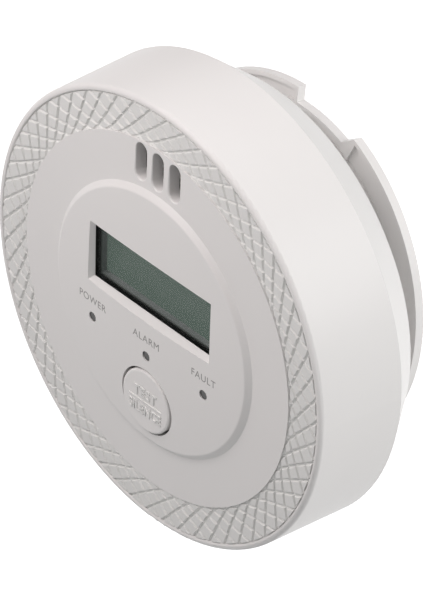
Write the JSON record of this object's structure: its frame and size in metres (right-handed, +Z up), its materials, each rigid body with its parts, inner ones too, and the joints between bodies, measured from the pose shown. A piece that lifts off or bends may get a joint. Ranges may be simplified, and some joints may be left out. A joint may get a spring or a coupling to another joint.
{
  "type": "carbon monoxide detector",
  "caption": "Round white wall-mounted carbon monoxide detector with display window, indicator lamps, test button, patterned face band and hook-on mounting bracket.",
  "frame": {"origin": "centre of the bracket's back face, on the wall plane", "axes": "+Y into the wall, detector faces -Y, +X to the right when facing the detector, +Z up"},
  "size_m": [0.109, 0.0429, 0.1098],
  "materials": {
    "housing_white": "fine satin moulded texture",
    "bracket_white": "satin moulded",
    "button_white": "satin, raised lettering",
    "window_clear": "clear polished",
    "frame_black": "matte moulded",
    "display_glass": "grey-green display glass",
    "reflector_film": "satin film",
    "strip_rubber": "soft striped elastomer",
    "pipe_smoke": "smoked clear",
    "lamp_clear": "clear epoxy",
    "switch_black": "matte",
    "board_green": "solder mask",
    "screw_steel": "zinc plated",
    "chip_black": "moulded epoxy",
    "crystal_steel": "drawn can",
    "resistor_black": "ceramic chip",
    "capacitor_sleeve": "sleeved can",
    "transformer_yellow": "taped winding",
    "sounder_black": "matte moulded",
    "piezo_brass": "brushed",
    "gasket_foam": "closed cell foam",
    "mesh_steel": "fine mesh",
    "sensor_steel": "drawn can",
    "filter_white": "porous",
    "battery_jacket": "plain printed jacket",
    "contact_steel": "nickel plated",
    "lead_red": "insulated wire",
    "lead_black": "insulated wire"
  },
  "bodies": {
    "bracket": {"mounting_bracket": "bracket_white"},
    "detector": {"alarm_led": "lamp_clear", "alarm_light_pipe": "pipe_smoke", "battery_contacts": "contact_steel", "battery_lower": "battery_jacket", "battery_springs": "contact_steel", "battery_tray": "housing_white", "battery_upper": "battery_jacket", "black_lead": "lead_black", "board_screws": "screw_steel", "case_screws": "screw_steel", "chip_resistors": "resistor_black", "co_sensor": "sensor_steel", "co_sensor_filter": "filter_white", "fault_led": "lamp_clear", "fault_light_pipe": "pipe_smoke", "front_housing": "housing_white", "insect_mesh": "mesh_steel", "lcd_connector_strips": "strip_rubber", "lcd_frame": "frame_black", "lcd_panel": "display_glass", "lcd_reflector": "reflector_film", "lcd_window": "window_clear", "main_board": "board_green", "microcontroller": "chip_black", "piezo_disc": "piezo_brass", "power_led": "lamp_clear", "power_light_pipe": "pipe_smoke", "quartz_crystal": "crystal_steel", "rear_cover": "housing_white", "red_lead": "lead_red", "sounder_case": "sounder_black", "sounder_gasket": "gasket_foam", "sounder_transformer": "transformer_yellow", "storage_capacitors": "capacitor_sleeve", "tact_switch": "switch_black"},
    "button": {"test_button": "button_white", "switch_plunger": "switch_black"},
    "door": {"battery_door": "housing_white"}
  },
  "joints": [
    {"name": "detector_lean", "type": "hinge", "parent": "bracket", "child": "detector", "pos_m": [0, -0.00469, -0.03853], "axis": [1, 0, 0], "range_deg": [-4.8, 12]},
    {"name": "test_button_press", "type": "slide", "parent": "detector", "child": "button", "axis": [0, 0.9965, 0.0837], "range_m": [0, 0.0008], "stiffness_N_per_m": 900, "springref_m": -0.0004},
    {"name": "battery_door_pull", "type": "slide", "parent": "detector", "child": "door", "axis": [0, 0.9965, 0.0837], "range_m": [0, 0.012]}
  ]
}
